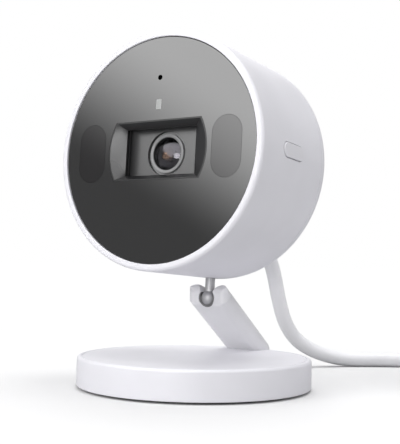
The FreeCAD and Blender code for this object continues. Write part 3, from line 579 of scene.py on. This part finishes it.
def coated_element(name, colour):
    """An inner lens element: black, but for the tinted light that its coating sends back."""
    material, tree, shader = new_material(name, (0.003, 0.003, 0.003), 0.05, ior=2.0)
    shader.inputs["Specular Tint"].default_value = (*colour, 1)
    uneven = noise(tree, place_of(tree), 1.2 * MM)
    tree.links.new(between(tree, uneven, 0.04, 0.08), shader.inputs["Roughness"])
    return material


TINNED = (0.55, 0.5, 0.4)


def circuit(name, colour=(0.012, 0.07, 0.035)):
    """Printed board: solder mask over tracks that run square to each other, with tinned pads."""
    material, tree, shader = new_material(name, colour, 0.35)
    tracks = tree.nodes.new("ShaderNodeTexBrick")
    tracks.inputs["Scale"].default_value = 330  # rows of 0.76 mm
    tracks.inputs["Mortar Size"].default_value = 0.06
    tracks.inputs["Color1"].default_value = (*colour, 1)
    tracks.inputs["Color2"].default_value = (*tint(colour, 1.35), 1)
    tracks.inputs["Mortar"].default_value = (*tint(colour, 2.2), 1)
    swap = tree.nodes.new("ShaderNodeMapping")
    swap.inputs["Rotation"].default_value = (math.radians(90), 0, 0)
    tree.links.new(place_of(tree), swap.inputs["Vector"])
    tree.links.new(swap.outputs["Vector"], tracks.inputs["Vector"])
    pads = noise(tree, place_of(tree), 1.3 * MM, detail=0.0)
    spots = between(tree, pads, 0.0, 1.0, start=0.72, end=0.74)
    mix = colour_mix(tree, spots)
    mix.inputs["B"].default_value = (*TINNED, 1)
    tree.links.new(tracks.outputs["Color"], mix.inputs["A"])
    tree.links.new(mix.outputs["Result"], shader.inputs["Base Color"])
    tree.links.new(spots, shader.inputs["Metallic"])
    bump(tree, shader, tracks.outputs["Fac"], 0.03 * MM)
    return material


def winding(name):
    """Enamelled copper wire wound close."""
    material, tree, shader = new_material(name, (0.6, 0.26, 0.12), 0.3, metallic=1.0)
    wires = tree.nodes.new("ShaderNodeTexWave")
    wires.bands_direction = "Z"
    wires.inputs["Scale"].default_value = 1100  # a turn in each 0.29 mm
    tree.links.new(place_of(tree), wires.inputs["Vector"])
    bump(tree, shader, wires.outputs["Fac"], 0.08 * MM)
    # The colour follows the bump: darker in the grooves between the turns and lighter on their crowns, which is
    # painted shade and painted highlight.
    tree.links.new(colours_between(tree, wires.outputs["Fac"], (0.3, 0.1, 0.04), (0.75, 0.36, 0.18)),
                   shader.inputs["Base Color"])
    return material


def woven_strap(name):
    """Black hook-and-loop strap."""
    material, tree, shader = new_material(name, (0.02, 0.02, 0.021), 0.85)
    loops = tree.nodes.new("ShaderNodeTexVoronoi")
    loops.inputs["Scale"].default_value = 2600  # loops about 0.4 mm apart
    tree.links.new(place_of(tree), loops.inputs["Vector"])
    shades = colours_between(tree, loops.outputs["Distance"], (0.035, 0.035, 0.037),
                             (0.008, 0.008, 0.009), start=0.1, end=0.6)
    tree.links.new(shades, shader.inputs["Base Color"])
    bump(tree, shader, loops.outputs["Distance"], 0.15 * MM)
    shader.inputs["Sheen Weight"].default_value = 0.4
    return material


WHITE = (0.80, 0.795, 0.835)
MATERIALS = {
    "white_satin": moulded("white_satin", WHITE, 0.42),
    # The arm's white is a darker copy of the housing's white: painted shade on the arm.
    "white_arm": moulded("white_arm", (0.725, 0.722, 0.742), 0.44, grain=0.3 * MM),
    "white_base": moulded("white_base", WHITE, 0.40),
    "white_button": moulded("white_button", (0.78, 0.775, 0.81), 0.36, grain=0.2 * MM),
    "panel_gloss": polished("panel_gloss", (0.006, 0.006, 0.0065), 1.95),
    "ir_gloss": polished("ir_gloss", (0.005, 0.004, 0.005), 1.76, roughness=0.07),
    "dark_matte": moulded("dark_matte", (0.016, 0.016, 0.017), 0.30, grain=0.2 * MM),
    "grey_matte": moulded("grey_matte", (0.056, 0.056, 0.057), 0.30, grain=0.15 * MM, ior=1.8),
    "frame_grey": moulded("frame_grey", (0.06, 0.06, 0.062), 0.5, grain=0.4 * MM),
    "ring_metal": metal("ring_metal", (0.16, 0.16, 0.165), 0.34, stretch=(1, 14, 1)),
    "lens_black": moulded("lens_black", (0.004, 0.004, 0.0045), 0.6, grain=0.12 * MM),
    "lens_glass": glass("lens_glass", (0.6, 0.59, 0.62)),
    "clear_plastic": moulded("clear_plastic", (0.35, 0.36, 0.355), 0.22, grain=0.5 * MM),
    "magnet_steel": metal("magnet_steel", (0.55, 0.55, 0.54), 0.2),
    "copper_coil": winding("copper_coil"),
    "board_green": circuit("board_green"),
    "chip_black": moulded("chip_black", (0.015, 0.015, 0.016), 0.55, grain=0.1 * MM),
    "shield_steel": metal("shield_steel", (0.6, 0.6, 0.6), 0.28, stretch=(10, 1, 1)),
    "sink_aluminium": metal("sink_aluminium", (0.72, 0.72, 0.73), 0.35, stretch=(1, 1, 16)),
    "gasket_foam": rubber("gasket_foam", (0.02, 0.02, 0.02), 0.9, grain=0.5 * MM),
    "speaker_cone": moulded("speaker_cone", (0.025, 0.025, 0.027), 0.6, grain=0.6 * MM),
    "screw_steel": metal("screw_steel", (0.5, 0.5, 0.51), 0.3),
    "ball_steel": metal("ball_steel", (0.50, 0.50, 0.51), 0.56, stretch=(1, 1, 8), depth=0.001 * MM),
    "stem_steel": metal("stem_steel", (0.62, 0.62, 0.63), 0.54, stretch=(6, 6, 1), depth=0.001 * MM),
    "bush_plastic": moulded("bush_plastic", (0.12, 0.12, 0.122), 0.45),
    "ballast_iron": metal("ballast_iron", (0.16, 0.155, 0.15), 0.55, stretch=(1, 1, 1),
                          scratch=1.2 * MM),
    "plate_grey": moulded("plate_grey", (0.4, 0.4, 0.405), 0.5, grain=0.5 * MM, depth=0.02 * MM),
    "foot_rubber": rubber("foot_rubber", (0.05, 0.05, 0.05)),
    # The lead's white is lighter than the housing's and the strain relief's: painted light, for the lead lies low,
    # where less light reaches it.
    "cord_jacket": moulded("cord_jacket", (0.92, 0.92, 0.94), 0.38, grain=0.5 * MM, depth=0.01 * MM),
    "cord_white": moulded("cord_white", (0.86, 0.86, 0.88), 0.36),
    "tie_black": woven_strap("tie_black"),
    "plug_steel": metal("plug_steel", (0.66, 0.65, 0.63), 0.24, stretch=(1, 10, 1)),
}
# Finishes that differ from the slot's, by the name of the CAD node or of the small piece.
SPECIAL = {
    "lens_trim": moulded("trim_grey", (0.24, 0.24, 0.243), 0.38, depth=0.002 * MM),
    "rear_element": coated_element("amber_coating", (1.0, 0.55, 0.25)),
    "ir_cut_filter": coated_element("red_coating", (1.0, 0.3, 0.25)),
    "second_element": coated_element("warm_coating", (1.0, 0.62, 0.4)),
}


def dress(obj, material):
    """Gives the object this material alone."""
    obj.data.materials.clear()
    obj.data.materials.append(material)


def dress_cad_nodes():
    """Gives every CAD node its own finish, or else the material of its slot."""
    slots = {part["node"]: part["material_slot"] for part in frame["record"]["subparts"]}
    for name, obj in nodes.items():
        dress(obj, SPECIAL.get(name, MATERIALS[slots[name]]))


dress_cad_nodes()
for lead_piece in LEAD:
    dress(lead_piece, MATERIALS["cord_jacket"])
dress(RELIEF, MATERIALS["cord_white"])
for piece, slot_name in DETAILS.items():
    dress(piece, SPECIAL.get(piece.name, MATERIALS[slot_name]))


# ---- floor and light ----------------------------------------------------------------------------
FLOOR_R = 6.0
FLOOR_NEAR = 0.06                 # within this of the origin the floor shows its shadows in full
FLOOR_FAR = 0.22                  # and from here on it is plain white
SHEET_DISTANCE = 0.7              # from the face to the sheets of light that it reflects
# Outline of the screen, and of the wide one that goes round its top and right.
SCREEN_OUTLINE = [(-0.30, -0.26), (0.30, -0.26), (0.30, 0.42), (-0.30, 0.42)]
WEDGE_OUTLINE = [
    (0.301, -0.16), (1.0, 0.14), (1.0, 0.9), (-0.301, 0.9), (-0.301, 0.421), (0.301, 0.421),
]
SCREEN_TURN = math.radians(-30)   # the way from the face to the screens: round to the side
SCREEN_RISE = math.radians(16)    # and up
SCREEN_SLANT = (0.510, 0.860, 0)  # direction across the screens in which their light grows
SCREEN_DARK = (-0.126, 0.35)      # place along that direction and strength where it starts
SCREEN_BRIGHT = (0.021, 3.65)     # and where it is full
CARD_TURN = math.radians(11)      # the way from the face to the card: round to the other side,
CARD_RISE = -0.04                 # and a little down
CARD_HALF_W = 0.14
CARD_HALF_H = 0.17
CARD_LIGHT = 9.0
BACKDROP = 1.0                    # strength of the white that the camera sees round the object
FILL = 0.40                       # and of the light that comes from all round
# Lamps: place, point aimed at, diameter and power.
LAMPS = {
    "overhead": ((0.05, 0.16, 1.1), (0, 0, 0), 0.9, 7.0),
    "back_key": ((-0.50, 0.60, 0.55), (0, 0, 0), 0.8, 1.4),
    "right_fill": ((0.80, 0.25, 0.45), (0, 0, 0.05), 0.6, 1.7),
}


def floor_material():
    """White as the camera sees it, but for the shadow near the object; light grey to other rays."""
    material, tree, shader = new_material("floor_white", (0.42, 0.42, 0.425), 0.9)
    shader.inputs["Specular IOR Level"].default_value = 0.1
    near = tree.nodes.new("ShaderNodeBsdfDiffuse")
    near.inputs["Color"].default_value = (0.81, 0.81, 0.81, 1)
    far = tree.nodes.new("ShaderNodeEmission")
    far.inputs["Strength"].default_value = 1.02
    coordinates = tree.nodes.new("ShaderNodeTexCoord")
    distance = tree.nodes.new("ShaderNodeVectorMath")
    distance.operation = "LENGTH"
    fade = tree.nodes.new("ShaderNodeMapRange")
    fade.interpolation_type = "SMOOTHSTEP"
    fade.inputs["From Min"].default_value = FLOOR_NEAR
    fade.inputs["From Max"].default_value = FLOOR_FAR
    white = tree.nodes.new("ShaderNodeMixShader")
    path = tree.nodes.new("ShaderNodeLightPath")
    choose = tree.nodes.new("ShaderNodeMixShader")
    tree.links.new(coordinates.outputs["Object"], distance.inputs[0])
    tree.links.new(distance.outputs["Value"], fade.inputs["Value"])
    tree.links.new(fade.outputs["Result"], white.inputs["Fac"])
    tree.links.new(near.outputs["BSDF"], white.inputs[1])
    tree.links.new(far.outputs["Emission"], white.inputs[2])
    tree.links.new(path.outputs["Is Camera Ray"], choose.inputs["Fac"])
    tree.links.new(shader.outputs["BSDF"], choose.inputs[1])
    tree.links.new(white.outputs["Shader"], choose.inputs[2])
    output = tree.nodes["Material Output"]
    tree.links.new(choose.outputs["Shader"], output.inputs["Surface"])
    return material


def white_floor():
    """A round floor, large enough to be seen as endless."""
    bm = bmesh.new()
    bmesh.ops.create_circle(bm, cap_ends=True, segments=96, radius=FLOOR_R)
    floor = add_object("floor", bm)
    dress(floor, floor_material())


def sheet_of_light(name, outline, aim):
    """A flat glowing sheet that lies along aim from the face, turned to it, hidden from the camera.

    Gives the sheet, its material's tree and the node that makes its light.
    """
    across = Vector((0, 0, 1)).cross(aim).normalized()
    upward = aim.cross(across)
    bm = bmesh.new()
    bm.faces.new([bm.verts.new((x, y, 0)) for x, y in outline])
    sheet = add_object(name, bm)
    turn = Matrix((across, upward, aim)).transposed().to_4x4()
    sheet.matrix_world = Matrix.Translation(FACE + aim * SHEET_DISTANCE) @ turn
    sheet.visible_camera = False
    material = bpy.data.materials.new(name + "_light")
    material.use_nodes = True
    tree = material.node_tree
    tree.nodes.clear()
    light = tree.nodes.new("ShaderNodeEmission")
    output = tree.nodes.new("ShaderNodeOutputMaterial")
    tree.links.new(light.outputs["Emission"], output.inputs["Surface"])
    dress(sheet, material)
    return sheet, tree, light


def gradient_screen(name, outline, lights_up=True):
    """A soft screen ahead and to the side, dark low down on the left and bright high on the right.

    The polished face shows it as a slanting gradient, and it is the main light. The wide one
    round it is for reflections alone: the lens shows it as a bright wedge.
    """
    level = math.cos(SCREEN_RISE)
    aim = Vector((math.sin(SCREEN_TURN) * level, -math.cos(SCREEN_TURN) * level, math.sin(SCREEN_RISE)))
    screen, tree, light = sheet_of_light(name, outline, aim)
    coordinates = tree.nodes.new("ShaderNodeTexCoord")
    slant = tree.nodes.new("ShaderNodeVectorMath")
    slant.operation = "DOT_PRODUCT"
    slant.inputs[1].default_value = SCREEN_SLANT
    dark_place, dark_light = SCREEN_DARK
    bright_place, bright_light = SCREEN_BRIGHT
    ramp = tree.nodes.new("ShaderNodeMapRange")
    ramp.interpolation_type = "SMOOTHSTEP"
    ramp.inputs["From Min"].default_value = dark_place
    ramp.inputs["From Max"].default_value = bright_place
    ramp.inputs["To Min"].default_value = dark_light
    ramp.inputs["To Max"].default_value = bright_light
    tree.links.new(coordinates.outputs["Object"], slant.inputs[0])
    tree.links.new(slant.outputs["Value"], ramp.inputs["Value"])
    tree.links.new(ramp.outputs["Result"], light.inputs["Strength"])
    screen.visible_diffuse = lights_up


def bezel_card():
    """A small bright card ahead, which the lens window's left slope shows."""
    aim = Vector((math.sin(CARD_TURN), -math.cos(CARD_TURN), CARD_RISE)).normalized()
    outline = [(x * CARD_HALF_W, y * CARD_HALF_H) for x, y in ((-1, -1), (1, -1), (1, 1), (-1, 1))]
    card, _, light = sheet_of_light("card", outline, aim)
    light.inputs["Strength"].default_value = CARD_LIGHT


def area_light(name, place, aim, size, power):
    """A round lamp of this width at place, turned to the point aim."""
    data = bpy.data.lights.new(name, "AREA")
    data.shape = "DISK"
    data.size = size
    data.energy = power
    lamp = bpy.data.objects.new(name, data)
    bpy.context.scene.collection.objects.link(lamp)
    lamp.location = place
    lamp.rotation_mode = "QUATERNION"
    lamp.rotation_quaternion = (Vector(aim) - Vector(place)).to_track_quat("-Z", "Y")


def studio_world():
    """White behind the object, and a softer fill for its light."""
    world = bpy.data.worlds.new("studio")
    bpy.context.scene.world = world
    world.use_nodes = True
    tree = world.node_tree
    tree.nodes.clear()
    path = tree.nodes.new("ShaderNodeLightPath")
    seen = tree.nodes.new("ShaderNodeBackground")
    seen.inputs["Color"].default_value = (1, 1, 1, 1)
    seen.inputs["Strength"].default_value = BACKDROP
    soft = tree.nodes.new("ShaderNodeBackground")
    soft.inputs["Color"].default_value = (0.98, 0.98, 1, 1)
    soft.inputs["Strength"].default_value = FILL
    mix = tree.nodes.new("ShaderNodeMixShader")
    output = tree.nodes.new("ShaderNodeOutputWorld")
    tree.links.new(path.outputs["Is Camera Ray"], mix.inputs["Fac"])
    tree.links.new(soft.outputs["Background"], mix.inputs[1])
    tree.links.new(seen.outputs["Background"], mix.inputs[2])
    tree.links.new(mix.outputs["Shader"], output.inputs["Surface"])


white_floor()
gradient_screen("screen", SCREEN_OUTLINE)
gradient_screen("wide_screen", WEDGE_OUTLINE, lights_up=False)
bezel_card()
for lamp_name, setting in LAMPS.items():
    area_light(lamp_name, *setting)
studio_world()
bpy.context.scene.view_settings.view_transform = "Standard"
